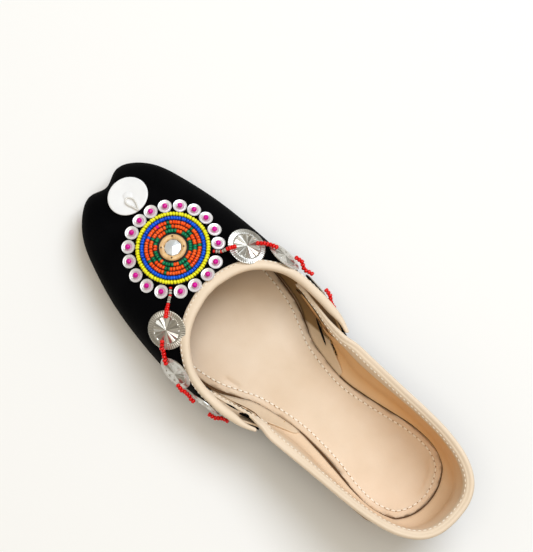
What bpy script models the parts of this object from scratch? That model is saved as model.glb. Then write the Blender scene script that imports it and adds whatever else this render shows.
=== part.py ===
"""A flat slip-on mojari shoe: velvet upper, bound edges, leather sole and a beaded rosette.

The toe points along +Y, +X is the right of the shoe seen from above, and the sole stands on z = 0.
Lengths are in metres. Section tables hold percentages of the named sizes.
"""

import math

import bmesh
import bpy
import numpy as np
from mathutils import Vector
from mathutils.bvhtree import BVHTree

LENGTH = 0.252
HALF_BALL = 0.042
RIM_HEIGHT = 0.055
TOE_SWING = 0.0068
SWING_START = 48.0
WALL = 0.0020
OVERLAY = 0.0013
GAP = 0.0003
OUTSOLE_THICKNESS = 0.0040
HEEL_LIFT = 0.0065
TOE_SPRING = 0.0075
INSOLE_THICKNESS = 0.0030
WELT = 0.0015
HEEL_BREAST = 23.0
ARCH_END = 50.0
SPRING_START = 72.0
BINDING_HALF_WIDTH = 0.0025
BINDING_HALF_HEIGHT = 0.0023
BEAD_RADIUS = 0.0010
STRING_LIFT = 0.0013
BACKING_RADIUS = 0.0191
BACKING_THICKNESS = 0.0010
SEQUIN_RADIUS = 0.0036
SEQUIN_CIRCLE = 0.0230
TOE_DISC_RADIUS = 0.0108
WOOD_RING_RADIUS = 0.0058
MIRROR_RADIUS = 0.0041
MIRROR_HEIGHT = 0.0026
WOOD_RING_HALF_WIDTH = 0.00145
WOOD_RING_HALF_HEIGHT = 0.0013
SEQUIN_DEPTH = 0.0009
DISC_THICKNESS = 0.0008
FAN_RISE = 0.0012
LOOP_WIRE = 0.0004

# Places on the vamp, as shares of HALF_BALL across and LENGTH along.
ROSETTE_PLACE = (0.048, 0.7853)
TOE_DISC_PLACE = (0.096, 0.9313)

# One row per rib of the right-hand wall, from the middle of the heel to the middle of the toe.
# Each rib leaves the sole at its foot, swells to its side and ends at its rim.
# y is a percentage of LENGTH, x of HALF_BALL and z of RIM_HEIGHT.
COLUMNS = ("foot_y", "foot_x", "side_y", "side_x", "side_z", "rim_y", "rim_x", "rim_z")
RIBS = (
    (5.4, 0.0, 2.6, 0.0, 44.0, 1.2, 0.0, 96.0),
    (5.8, 19.5, 3.1, 23.5, 44.0, 1.8, 26.0, 95.6),
    (7.0, 37.0, 4.9, 42.5, 43.5, 3.9, 45.5, 94.5),
    (9.0, 51.5, 8.3, 57.0, 42.0, 7.8, 59.5, 92.0),
    (13.2, 61.8, 13.2, 66.0, 40.0, 13.2, 67.5, 87.5),
    (19.0, 62.0, 19.1, 68.5, 38.0, 19.2, 70.5, 81.0),
    (25.0, 55.4, 25.0, 66.5, 36.0, 25.0, 71.2, 73.5),
    (30.6, 49.4, 30.7, 63.0, 34.0, 30.8, 71.5, 66.5),
    (36.3, 46.6, 36.0, 63.0, 32.5, 36.2, 72.5, 61.0),
    (44.5, 54.8, 42.8, 73.5, 31.0, 41.2, 75.8, 58.0),
    (49.0, 66.0, 47.2, 85.0, 30.0, 44.8, 84.5, 56.5),
    (53.5, 77.5, 51.8, 92.0, 29.0, 48.4, 89.2, 56.5),
    (58.8, 84.5, 57.6, 96.2, 28.0, 52.2, 90.8, 57.5),
    (65.0, 87.5, 64.5, 98.0, 27.0, 56.2, 89.8, 60.5),
    (72.2, 85.5, 72.2, 95.0, 27.0, 59.9, 84.2, 65.0),
    (79.8, 79.0, 80.2, 88.5, 27.5, 63.2, 72.5, 69.5),
    (86.9, 68.0, 87.7, 77.5, 28.5, 65.9, 56.5, 72.5),
    (92.5, 54.5, 93.7, 64.5, 29.5, 67.6, 38.0, 74.2),
    (96.1, 37.5, 97.6, 46.0, 30.0, 68.5, 19.0, 75.0),
    (97.6, 19.5, 99.4, 25.0, 30.0, 68.8, 8.0, 75.4),
    (96.6, 0.0, 98.2, 0.0, 30.0, 68.8, 0.0, 75.5),
)
WING_ROW = 9
TOE_CORNER_ROW = 18
TOE_ROUND = 0.0045

# Where the bound edge of the quarter runs on inside the vamp, as percentages like those of RIBS.
QUARTER_TONGUE = (
    (40.9, 70.7, 63.6),
    (43.3, 71.7, 61.6),
    (46.0, 74.3, 57.8),
    (48.8, 78.5, 53.4),
    (51.6, 82.0, 50.0),
    (53.6, 84.8, 47.5),
    (56.0, 86.4, 44.0),
)

# Middle radius of each bead ring in the rosette.
BEAD_RINGS = {
    "bead_ring_yellow": 0.01810,
    "bead_ring_blue": 0.01585,
    "bead_ring_outer": 0.01360,
    "bead_ring_middle": 0.01130,
    "bead_ring_inner": 0.00900,
}

# Bearing of each sequin round the rosette, in degrees from +X.
SEQUIN_BEARINGS = (
    -2.2, 16.6, 35.4, 54.6, 73.6, 92.1, 110.7, 129.3, 148.2,
    168.4, 188.4, 208.8, 233.6, 253.2, 274.0, 293.6, 319.0, 338.4,
)

# Fan discs down each side, then the end of the string: rib position and share from side to rim.
FAN_PLACES = {
    "right": ((15.58, 0.925), (13.6, 0.865), (11.45, 0.66), (10.25, 0.70)),
    "left": ((15.60, 0.925), (13.4, 0.815), (11.45, 0.66), (10.25, 0.70)),
}
FAN_RADII = (0.0102, 0.0097, 0.0085)


def swing(y):
    """How far the middle line has moved towards the big toe at this y."""
    past = max(0.0, y / LENGTH - SWING_START / 100)
    return TOE_SWING * (past / (1 - SWING_START / 100)) ** 2


def at(x, y, z):
    """A point of the shoe measured from the heel, moved into the world frame."""
    return Vector((x + swing(y), y - LENGTH / 2, z))


def ease(value, low, high):
    """A smooth rise from 0 to 1 between two values."""
    share = min(1.0, max(0.0, (value - low) / (high - low)))
    return share * share * (3 - 2 * share)


def underside(y):
    """Height of the bottom of the outsole: lifted heel, flat forefoot, sprung toe."""
    share = 100 * y / LENGTH
    heel = HEEL_LIFT * (1 - ease(share, HEEL_BREAST, ARCH_END))
    toe = TOE_SPRING * max(0.0, (share - SPRING_START) / (100 - SPRING_START)) ** 2
    return heel + toe


def sole_top(y):
    return underside(y) + OUTSOLE_THICKNESS


def bezier(points, t):
    a, b, c, d = points
    return a * (1 - t) ** 3 + 3 * b * t * (1 - t) ** 2 + 3 * c * t * t * (1 - t) + d * t**3


def catmull(rows, position):
    """The table read between its rows, as a smooth closed loop."""
    count = len(rows)
    i = int(math.floor(position))
    t = position - i
    p0, p1, p2, p3 = (rows[(i + k) % count] for k in (-1, 0, 1, 2))
    return 0.5 * (
        2 * p1
        + (p2 - p0) * t
        + (2 * p0 - 5 * p1 + 4 * p2 - p3) * t * t
        + (3 * p1 - p0 - 3 * p2 + p3) * t**3
    )


def full_loop():
    """All ribs of the shoe in metres: up the right side, then back down the left."""
    unit = {"y": LENGTH / 100, "x": HALF_BALL / 100, "z": RIM_HEIGHT / 100}
    scale = np.array([unit[name[-1]] for name in COLUMNS])
    mirror = np.array([-1 if name.endswith("x") else 1 for name in COLUMNS])
    right = np.array(RIBS) * scale
    left = right[-2:0:-1] * mirror
    return np.vstack([right, left])


LOOP = full_loop()
HALF_ROWS = len(RIBS) - 1
LOWER = (0.0, 0.36, 0.7)
UPPER = (0.0, 0.12, 0.24, 0.37, 0.52, 0.68, 0.84, 1.0)


def rib(position):
    """Points of one rib, foot to rim, measured from the heel."""
    foot_y, foot_x, side_y, side_x, side_z, rim_y, rim_x, rim_z = catmull(LOOP, position)
    foot = np.array([foot_x, foot_y, sole_top(foot_y) + GAP])
    side = np.array([side_x, side_y, side_z])
    rim = np.array([rim_x, rim_y, rim_z])
    up = np.array([0.0, 0.0, 1.0])
    out = np.array([side_x - foot_x, side_y - foot_y, 0.0])
    back = np.array([side_x - rim_x, side_y - rim_y, 0.0])
    low = (side_z - foot[2]) * up
    high = (rim_z - side_z) * up
    lower = (foot, foot + 0.4 * out + 0.22 * low, side - 0.45 * low, side)
    upper = (side, side + 0.5 * high, rim + 0.62 * back - 0.38 * high, rim)
    points = [bezier(lower, t) for t in LOWER]
    points += [bezier(upper, t) for t in UPPER]
    return np.array(points)


def stations():
    """Rib positions round the shoe, with a pair close together where the vamp starts."""
    step = 0.08
    right = [k / 2 for k in range(2 * HALF_ROWS)]
    right += [WING_ROW + step]
    left = [2 * HALF_ROWS - p for p in right if p > 0] + [HALF_ROWS]
    return sorted(set(right + left))


def overlay_share(position):
    """1 where the vamp lies over the wall, 0 behind it."""
    row = position if position <= HALF_ROWS else 2 * HALF_ROWS - position
    return 1.0 if row > WING_ROW + 0.01 else 0.0


def material(name, color, roughness, metallic=0.0):
    made = bpy.data.materials.new(name)
    made.use_nodes = True
    shader = made.node_tree.nodes["Principled BSDF"]
    shader.inputs["Base Color"].default_value = (*color, 1.0)
    shader.inputs["Roughness"].default_value = roughness
    shader.inputs["Metallic"].default_value = metallic
    return made


def add_object(name, mesh, surface, smooth=True):
    """Welds the points that coincide, turns the faces outwards and links the object."""
    bmesh.ops.remove_doubles(mesh, verts=mesh.verts, dist=1e-6)
    bmesh.ops.recalc_face_normals(mesh, faces=mesh.faces)
    for face in mesh.faces:
        face.smooth = smooth
    data = bpy.data.meshes.new(name)
    mesh.to_mesh(data)
    mesh.free()
    data.materials.append(surface)
    made = bpy.data.objects.new(name, data)
    bpy.context.scene.collection.objects.link(made)
    return made


def loft(sections, closed=False):
    """A closed skin over rings of points. The two end rings are filled unless the loft is closed."""
    mesh = bmesh.new()
    rings = [[mesh.verts.new(point) for point in ring] for ring in sections]
    count = len(rings[0])
    pairs = list(zip(rings, rings[1:]))
    if closed:
        pairs.append((rings[-1], rings[0]))
    for first, second in pairs:
        for i in range(count):
            j = (i + 1) % count
            mesh.faces.new((first[i], first[j], second[j], second[i]))
    if not closed:
        mesh.faces.new(reversed(rings[0]))
        mesh.faces.new(rings[-1])
    return mesh


def upper_sections():
    """Rings round the wall: up the outside, over the rim and down the inside."""
    places = stations()
    grid = np.array([rib(p) for p in places])
    along = np.roll(grid, -1, axis=0) - np.roll(grid, 1, axis=0)
    rise = np.gradient(grid, axis=1)
    normal = np.cross(along, rise)
    normal /= np.linalg.norm(normal, axis=2)[:, :, None]
    sections = []
    for k, place in enumerate(places):
        share = overlay_share(place)
        level = np.array([normal[k, 0, 0], normal[k, 0, 1], 0.0])
        normal[k, 0] = level / np.linalg.norm(level)
        outer = grid[k] + normal[k] * OVERLAY * share
        inner = grid[k] - normal[k] * (WALL - OVERLAY * share)
        for edge in (outer[0], inner[0]):
            edge[2] = sole_top(edge[1]) + GAP
        sections.append([at(*p) for p in outer] + [at(*p) for p in inner[::-1]])
    return sections


def outline(inset):
    """Plan points of the foot of the wall, heel to toe on the right, moved in by inset.

    The sole keeps a plain round toe where the wall above it is folded in.
    """
    rows = [catmull(LOOP, k / 2) for k in range(2 * HALF_ROWS + 1)]
    points = np.array([(row[1], row[0]) for row in rows])
    corner_x, corner_y = points[2 * TOE_CORNER_ROW]
    for point in points[2 * TOE_CORNER_ROW :]:
        round_share = math.sqrt(max(0.0, 1 - (point[0] / corner_x) ** 2))
        point[1] = corner_y + TOE_ROUND * round_share
    ahead = np.vstack([points[1:], points[-1:] + [[-1e-3, 0]]])
    behind = np.vstack([points[:1] - [[1e-3, 0]], points[:-1]])
    run = ahead - behind
    run /= np.linalg.norm(run, axis=1)[:, None]
    moved = points - inset * np.stack([run[:, 1], -run[:, 0]], axis=1)
    moved[0, 0] = 0.0
    moved[-1, 0] = 0.0
    return moved


def slab(inset, floor, ceiling, bevel, last=None):
    """A flat-laid piece with the shoe's outline between two height functions."""
    points = [p for p in outline(inset) if last is None or p[1] < last]
    if last is not None:
        points.append(np.array([points[-1][0], last]))
    sections = []
    for x, y in points:
        low = floor(y)
        high = ceiling(y)
        soft = min(bevel, max(0.0, x))
        ring = [(x - soft, low), (x, low + bevel), (x, high - bevel), (x - soft, high)]
        ring += [(-a, z) for a, z in reversed(ring)]
        sections.append([at(a, y, z) for a, z in ring])
    return loft(sections)


for old in list(bpy.data.objects):
    bpy.data.objects.remove(old)

LEATHER = (0.73, 0.54, 0.36)
VELVET = material("velvet_black", (0.006, 0.006, 0.008), 0.95)
LINING = material("leather_tan", LEATHER, 0.55)
SOLE = material("leather_sole", (0.42, 0.26, 0.14), 0.6)
LIFT = material("leather_heel_stack", (0.25, 0.14, 0.07), 0.55)
BINDING = material("leather_binding", (0.78, 0.60, 0.42), 0.5)

add_object("outsole", slab(-WELT, underside, sole_top, 0.0007), SOLE)
add_object(
    "heel_lift",
    slab(-WELT * 0.6, lambda y: 0.0, lambda y: underside(y) - GAP, 0.0006, LENGTH * 0.222),
    LIFT,
)
add_object(
    "insole",
    slab(
        WALL + 1.2 * GAP,
        lambda y: sole_top(y) + GAP,
        lambda y: sole_top(y) + GAP + INSOLE_THICKNESS,
        0.0006,
        LENGTH * 0.945,
    ),
    LINING,
)
UPPER_OBJECT = add_object("upper", loft(upper_sections(), closed=True), VELVET)


def skin(position, share):
    """A point on the outside of the upper and the direction it faces. Share 0 is the side, 1 the rim."""
    first = len(LOWER)
    last = first + len(UPPER) - 1
    place = first + share * (last - first)

    def read(p, v):
        points = rib(p % len(LOOP))
        low = min(int(v), last - 1)
        return points[low] + (points[low + 1] - points[low]) * (v - low)

    here = read(position, place)
    along = read(position + 0.1, place) - read(position - 0.1, place)
    rise = read(position, min(place + 0.4, last)) - read(position, place - 0.4)
    normal = np.cross(along, rise)
    normal /= np.linalg.norm(normal)
    return at(*(here + normal * OVERLAY)), Vector(normal)


def tree_of(*objects):
    """One search tree over the faces of several objects."""
    points = []
    faces = []
    for piece in objects:
        start = len(points)
        points += [v.co.copy() for v in piece.data.vertices]
        faces += [[start + i for i in f.vertices] for f in piece.data.polygons]
    return BVHTree.FromPolygons(points, faces)


def under(tree, spot):
    """The surface straight below a spot seen from above, or else the nearest to it, and its normal."""
    above = Vector((spot.x, spot.y, 2 * RIM_HEIGHT))
    hit = tree.ray_cast(above, Vector((0, 0, -1)))
    if hit[0] is None:
        hit = tree.find_nearest(Vector((spot.x, spot.y, RIM_HEIGHT)))
    return hit[0], hit[1]


def height_over(tree, point, normal):
    """How far the surface stands above the point, measured along the normal."""
    reach = RIM_HEIGHT / 2
    hit = tree.ray_cast(point + normal * reach, -normal, 2 * reach)
    return reach - hit[3] if hit[0] else None


def frame_at(point, normal, ahead=Vector((0, 1, 0))):
    """Two directions square to the normal."""
    x = ahead.cross(normal).normalized()
    return x, normal.cross(x)


def seat(tree, point, normal, radius):
    """Leans a flat disc to the surface under its edge, then lifts it until it clears the surface."""
    x, y = frame_at(point, normal)
    spots = []
    for ring in (0.0, 0.55, 1.0, 1.05):
        for k in range(24):
            angle = k * math.pi / 12
            offset = radius * ring * np.array([math.cos(angle), math.sin(angle)])
            height = height_over(tree, point + x * offset[0] + y * offset[1], normal)
            if height is not None:
                spots.append((*offset, 1.0, height))
    spots = np.array(spots)
    slope = np.linalg.lstsq(spots[:, :3], spots[:, 3], rcond=None)[0]
    lift = (spots[:, 3] - spots[:, :2] @ slope[:2]).max()
    leaned = (normal - x * slope[0] - y * slope[1]).normalized()
    return point + normal * lift + leaned * 1.1 * GAP, leaned


def turned(profile, segments, point, normal):
    """A solid turned about the normal from (radius, height) pairs."""
    x, y = frame_at(point, normal)
    mesh = bmesh.new()
    rings = []
    for radius, height in profile:
        middle = point + normal * height
        if radius == 0:
            rings.append([mesh.verts.new(middle)])
            continue
        angles = [2 * math.pi * k / segments for k in range(segments)]
        ring = [middle + (x * math.cos(a) + y * math.sin(a)) * radius for a in angles]
        rings.append([mesh.verts.new(p) for p in ring])
    for first, second in zip(rings, rings[1:]):
        for k in range(segments):
            j = (k + 1) % segments
            corners = [first[k % len(first)], first[j % len(first)]]
            corners += [second[j % len(second)], second[k % len(second)]]
            mesh.faces.new(list(dict.fromkeys(corners)))
    return mesh


def fan_profile(radius):
    """Half section of a thin disc pressed up into a low cone."""
    edge = FAN_RISE * 0.4
    return ((0, 0), (radius, 0), (radius, edge), (radius * 0.72, edge * 1.2), (0, FAN_RISE))


def tube(path, normals, across, height, sides, closed=False, widths=None):
    """A rod of elliptical section along a path, flat side along each normal."""
    sections = []
    count = len(path)
    for i, (point, normal) in enumerate(zip(path, normals)):
        ahead = path[(i + 1) % count] if closed or i < count - 1 else point
        behind = path[i - 1] if closed or i > 0 else point
        side = (ahead - behind).cross(normal).normalized()
        up = side.cross(ahead - behind).normalized()
        size = widths[i] if widths else 1.0
        angles = [2 * math.pi * (k + 0.5) / sides for k in range(sides)]
        sections.append(
            [
                point + side * across * size * math.cos(a) + up * height * size * math.sin(a)
                for a in angles
            ]
        )
    return loft(sections, closed)


def draped_ring(tree, centre, radius, lift, segments):
    """Points of a circle in plan laid over the upper, and the way up at each."""
    path = []
    normals = []
    for k in range(segments):
        angle = 2 * math.pi * k / segments
        spot = centre + Vector((radius * math.cos(angle), radius * math.sin(angle), 0))
        point, normal = under(tree, spot)
        path.append(point + normal * lift)
        normals.append(normal)
    return path, normals


def binding(positions, widths, flare):
    """Path, way up and size of a rolled edge that stands on the rim of the wall."""
    path = []
    normals = []
    for position, width in zip(positions, widths):
        points = rib(position % len(LOOP))
        normal = skin(position, 1.0)[1]
        along = skin(position + 0.1, 1.0)[0] - skin(position - 0.1, 1.0)[0]
        rise = normal.cross(along).normalized()
        rise *= math.copysign(1.0, rise.dot(Vector(points[-1] - points[-2])))
        middle = OVERLAY - WALL / 2 if overlay_share(position % len(LOOP)) else -WALL / 2
        point = at(*points[-1]) + normal * (middle + flare * (1 - width))
        path.append(point + rise * (BINDING_HALF_HEIGHT * width + GAP))
        normals.append(rise)
    return path, normals


def patch(tree, centre, radius, thickness, segments):
    """A thin round sheet laid over the upper."""
    mesh = bmesh.new()
    layers = []
    for lift in (1.4 * GAP, 1.4 * GAP + thickness):
        rings = []
        for share in (0.0, 0.36, 0.7, 1.0):
            path, _ = draped_ring(tree, centre, radius * share, lift, segments)
            corners = path if share else path[:1]
            rings.append([mesh.verts.new(p) for p in corners])
        layers.append(rings)
    bottom, top = layers
    outer = (bottom[-1], top[-1])
    for first, second in [*zip(bottom, bottom[1:]), *zip(top, top[1:]), outer]:
        for k in range(segments):
            j = (k + 1) % segments
            corners = [first[k % len(first)], first[j % len(first)]]
            corners += [second[j % len(second)], second[k % len(second)]]
            mesh.faces.new(list(dict.fromkeys(corners)))
    return mesh


def on_top(tree, spot, spread):
    """The point of the surface under a spot and its direction averaged over a small circle."""
    total = Vector()
    for k in range(8):
        angle = k * math.pi / 4
        around = Vector((math.cos(angle), math.sin(angle), 0)) * spread
        total += under(tree, spot + around)[1]
    return under(tree, spot)[0], total.normalized()


def strung(tree, places):
    """A bead string over the surface, through (point, normal) places."""
    steps = 3
    spots = []
    for (a, n), (b, m) in zip(places, places[1:]):
        spots += [(a.lerp(b, k / steps), n.lerp(m, k / steps).normalized()) for k in range(steps)]
    spots.append(places[-1])
    heights = [height_over(tree, p, n) or 0.0 for p, n in spots]
    highest = [max(heights[max(k - 1, 0) : k + 2]) for k in range(len(spots))]
    path = []
    for k, (point, normal) in enumerate(spots):
        height = np.mean(highest[max(k - 1, 0) : k + 2])
        path.append(point + normal * (height + STRING_LIFT + BEAD_RADIUS))
    return tube(path, [n for _, n in spots], BEAD_RADIUS, BEAD_RADIUS, 6)


UPPER_TREE = tree_of(UPPER_OBJECT)
TOP_ROW = 2 * HALF_ROWS

vamp_places = [9.2] + [k / 2 for k in range(19, 2 * TOP_ROW - 18)] + [TOP_ROW - 9.2]
vamp_widths = []
for place in vamp_places:
    from_end = min(place, TOP_ROW - place) - 9.2
    vamp_widths.append(0.42 + 0.58 * ease(from_end, 0.0, 1.8))
vamp_path, vamp_ups = binding(vamp_places, vamp_widths, BINDING_HALF_WIDTH * 0.96)
VAMP_BINDING = add_object(
    "vamp_binding",
    tube(vamp_path, vamp_ups, BINDING_HALF_WIDTH, BINDING_HALF_HEIGHT, 8, False, vamp_widths),
    BINDING,
)

quarter_places = [k / 2 for k in range(-17, 18)]
quarter_path, quarter_ups = binding(quarter_places, [1.0] * len(quarter_places), 0.0)
for side in (1, -1):
    tongue = []
    for share_y, share_x, share_z in QUARTER_TONGUE:
        x = side * share_x * HALF_BALL / 100
        tongue.append(at(x, share_y * LENGTH / 100, share_z * RIM_HEIGHT / 100))
    ups = [Vector((0, 0, 1))] * len(tongue)
    if side == 1:
        quarter_path = quarter_path + tongue
        quarter_ups = quarter_ups + ups
    else:
        quarter_path = tongue[::-1] + quarter_path
        quarter_ups = ups + quarter_ups
add_object(
    "quarter_binding",
    tube(quarter_path, quarter_ups, BINDING_HALF_WIDTH, BINDING_HALF_HEIGHT, 8),
    BINDING,
)

FELT = material("felt_black", (0.02, 0.02, 0.022), 0.95)
BEAD_COLORS = {
    "bead_ring_yellow": material("bead_yellow", (0.80, 0.72, 0.03), 0.3),
    "bead_ring_blue": material("bead_blue", (0.02, 0.11, 0.50), 0.25),
    "bead_ring_outer": material("bead_orange", (0.80, 0.13, 0.03), 0.3),
}
BEAD_COLORS["bead_ring_middle"] = BEAD_COLORS["bead_ring_outer"]
BEAD_COLORS["bead_ring_inner"] = BEAD_COLORS["bead_ring_outer"]
RED = material("bead_red", (0.70, 0.015, 0.01), 0.25)
SILVER = material("silver_sequin", (0.75, 0.75, 0.74), 0.25, 1.0)
FAN_METAL = material("silver_fan_disc", (0.62, 0.61, 0.58), 0.3, 1.0)
WHITE = material("white_disc", (0.85, 0.85, 0.85), 0.5)
WOOD = material("wood_ring", (0.62, 0.36, 0.12), 0.4)
MIRROR = material("mirror_gem", (0.85, 0.87, 0.88), 0.05, 1.0)
WIRE = material("clear_loop", (0.8, 0.8, 0.8), 0.15)

ROSETTE = at(ROSETTE_PLACE[0] * HALF_BALL, ROSETTE_PLACE[1] * LENGTH, 0.0)
BACKING = add_object(
    "rosette_backing",
    patch(UPPER_TREE, ROSETTE, BACKING_RADIUS, BACKING_THICKNESS, 30),
    FELT,
)
ring_lift = 2.8 * GAP + BACKING_THICKNESS + BEAD_RADIUS
for name, radius in BEAD_RINGS.items():
    path, ups = draped_ring(UPPER_TREE, ROSETTE, radius, ring_lift, 30)
    add_object(name, tube(path, ups, BEAD_RADIUS, BEAD_RADIUS, 5, True), BEAD_COLORS[name])

BACKING_TREE = tree_of(BACKING)
middle, middle_up = on_top(BACKING_TREE, ROSETTE, BACKING_RADIUS / 5)
ring_seat, ring_up = seat(
    BACKING_TREE, middle, middle_up, WOOD_RING_RADIUS + WOOD_RING_HALF_WIDTH
)
wood_path = []
wood_x, wood_y = frame_at(ring_seat, ring_up)
for k in range(20):
    angle = 2 * math.pi * k / 20
    spoke = wood_x * math.cos(angle) + wood_y * math.sin(angle)
    wood_path.append(ring_seat + spoke * WOOD_RING_RADIUS + ring_up * WOOD_RING_HALF_HEIGHT)
wood_size = (WOOD_RING_HALF_WIDTH, WOOD_RING_HALF_HEIGHT)
add_object("wood_ring", tube(wood_path, [ring_up] * 20, *wood_size, 6, True), WOOD)
gem = (
    (0, 0),
    (MIRROR_RADIUS, 0),
    (MIRROR_RADIUS, MIRROR_HEIGHT * 0.45),
    (MIRROR_RADIUS * 0.5, MIRROR_HEIGHT),
    (0, MIRROR_HEIGHT),
)
add_object("mirror_gem", turned(gem, 12, ring_seat, ring_up), MIRROR, False)

EDGE_TREE = tree_of(UPPER_OBJECT, VAMP_BINDING)
SEQUIN_PROFILE = (
    (0, 0),
    (SEQUIN_RADIUS * 0.9, SEQUIN_DEPTH * 0.1),
    (SEQUIN_RADIUS, SEQUIN_DEPTH),
    (SEQUIN_RADIUS * 0.45, SEQUIN_DEPTH * 0.55),
    (SEQUIN_RADIUS * 0.40, SEQUIN_DEPTH * 1.9),
    (0, SEQUIN_DEPTH * 2.4),
)
for number, bearing in enumerate(SEQUIN_BEARINGS, 1):
    angle = math.radians(bearing)
    spot = ROSETTE + Vector((math.cos(angle), math.sin(angle), 0)) * SEQUIN_CIRCLE
    point, normal = seat(EDGE_TREE, *on_top(EDGE_TREE, spot, SEQUIN_RADIUS / 2), SEQUIN_RADIUS)
    add_object(f"sequin_{number:02d}", turned(SEQUIN_PROFILE, 10, point, normal), SILVER)

disc_place = at(TOE_DISC_PLACE[0] * HALF_BALL, TOE_DISC_PLACE[1] * LENGTH, 0.0)
disc_top, disc_up = on_top(UPPER_TREE, disc_place, TOE_DISC_RADIUS / 2)
disc_point, disc_up = seat(UPPER_TREE, disc_top, disc_up, TOE_DISC_RADIUS)
disc_profile = (
    (0, 0),
    (TOE_DISC_RADIUS, 0),
    (TOE_DISC_RADIUS, DISC_THICKNESS),
    (0, DISC_THICKNESS * 1.1),
)
TOE_DISC = add_object("toe_disc", turned(disc_profile, 24, disc_point, disc_up), WHITE)
loop_x, loop_y = frame_at(disc_point, disc_up)
loop_path = []
for k in range(14):
    angle = 2 * math.pi * k / 14
    width = TOE_DISC_RADIUS * 0.21 * (1 + 0.45 * math.cos(angle))
    forward = TOE_DISC_RADIUS * (0.42 * math.cos(angle) - 0.50)
    spot = disc_point + disc_up * (DISC_THICKNESS * 1.1 + GAP + LOOP_WIRE)
    loop_path.append(spot + loop_y * forward + loop_x * width * math.sin(angle))
add_object("toe_loop", tube(loop_path, [disc_up] * 14, LOOP_WIRE, LOOP_WIRE, 5, True), WIRE)

STRING_BEARINGS = {"right": -53.7, "left": -138.8}
HOLE_SHARE = 0.23
for side, letter in ((1, "right"), (-1, "left")):
    places = FAN_PLACES[letter]
    if side == -1:
        places = [(TOP_ROW - place, share) for place, share in places]
    discs = []
    for number, (place, radius) in enumerate(zip(places, FAN_RADII), 1):
        point, normal = seat(EDGE_TREE, *skin(*place), radius)
        disc = turned(fan_profile(radius), 20, point, normal)
        discs.append(add_object(f"fan_disc_{letter}_{number}", disc, FAN_METAL, False))
    tree = tree_of(UPPER_OBJECT, VAMP_BINDING, *discs)
    bearing = math.radians(STRING_BEARINGS[letter])
    ray = Vector((math.cos(bearing), math.sin(bearing), 0))
    run = [ROSETTE + ray * SEQUIN_CIRCLE * reach for reach in (0.88, 1.01, 1.135)]
    centre = skin(*places[0])[0]
    toward = run[-1] - centre
    toward.z = 0.0
    run.append(centre + toward.normalized() * FAN_RADII[0] * 0.54)
    strings = [[on_top(UPPER_TREE, spot, BEAD_RADIUS * 2) for spot in run]]
    for begin, end in zip(places, places[1:]):
        first = HOLE_SHARE
        final = 1.0 if end == places[-1] else 1 - HOLE_SHARE
        strings.append([])
        for k in range(4):
            t = first + (final - first) * k / 3
            place = [a + (b - a) * t for a, b in zip(begin, end)]
            strings[-1].append(skin(*place))
    for number, string in enumerate(strings, 1):
        add_object(f"bead_string_{letter}_{number}", strung(tree, string), RED)
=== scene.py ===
# %% [markdown]
# # A beaded mojari, dressed in Blender
# A mojari is a flat slip-on shoe. This one has a black velvet upper, a light tan lining and
# insole, rolled leather edges, and a rosette of glass beads on the vamp. The solids of the
# shoe are loaded first. They fix the size and the place of every piece that is added here.

import math
import random

import bmesh
import bpy
import numpy as np
from mathutils import Matrix, Vector
from mathutils.bvhtree import BVHTree


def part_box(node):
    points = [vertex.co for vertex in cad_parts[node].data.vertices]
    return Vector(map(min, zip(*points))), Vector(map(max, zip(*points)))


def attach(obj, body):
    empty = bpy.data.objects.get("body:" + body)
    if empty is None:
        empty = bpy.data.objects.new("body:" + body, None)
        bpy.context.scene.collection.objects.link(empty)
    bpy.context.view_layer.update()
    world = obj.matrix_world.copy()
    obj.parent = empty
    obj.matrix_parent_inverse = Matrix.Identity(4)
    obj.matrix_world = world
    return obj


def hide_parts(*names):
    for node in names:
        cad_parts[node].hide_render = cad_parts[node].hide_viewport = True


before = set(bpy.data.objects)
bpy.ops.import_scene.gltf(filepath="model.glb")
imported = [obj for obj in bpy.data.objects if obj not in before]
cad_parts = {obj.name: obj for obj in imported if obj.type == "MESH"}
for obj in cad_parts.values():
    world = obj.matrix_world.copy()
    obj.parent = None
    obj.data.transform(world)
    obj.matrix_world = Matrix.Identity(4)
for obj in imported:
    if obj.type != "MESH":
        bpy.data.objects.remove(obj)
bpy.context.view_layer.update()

# %% [markdown]
# ## Where the picture is taken from
# The shoe is seen almost straight from above, with the toe to the upper left. A long lens a
# metre away keeps the lines nearly parallel. The rows below are the camera's right, up and
# backward directions, so its matrix is built from them and nothing has to be turned by hand.

# %% Camera
def linked(name, data):
    """A new object in the scene with this data."""
    made = bpy.data.objects.new(name, data)
    bpy.context.scene.collection.objects.link(made)
    return made


right = Vector((0.68159406, -0.73145849, 0.01995047))
upward = Vector((0.72006546, 0.67532787, 0.15949295))
backward = Vector((-0.13013558, -0.0943438, 0.98699746))
camera_data = bpy.data.cameras.new("photo_camera")
camera_data.sensor_width = 36.0
camera_data.lens = 125.79
camera_data.clip_start = 0.01
camera = linked("photo_camera", camera_data)
turn = Matrix((right, upward, backward)).transposed().to_4x4()
camera.matrix_world = Matrix.Translation((-0.10112812, -0.06485887, 1.00699746)) @ turn
bpy.context.scene.camera = camera
print("camera height:", round(camera.matrix_world.translation.z, 3))

# %% [markdown]
# ## Light and floor
# A shop photograph is lit by large soft lights and a bright room. The main light stands high
# on the right of the shoe, so the soft shadow falls to the left. A second one above the
# camera reaches down into the shoe. The room is a little warm, white overhead and greyer
# near the horizon. Shiny metal needs that change, or it would look flat.

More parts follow.
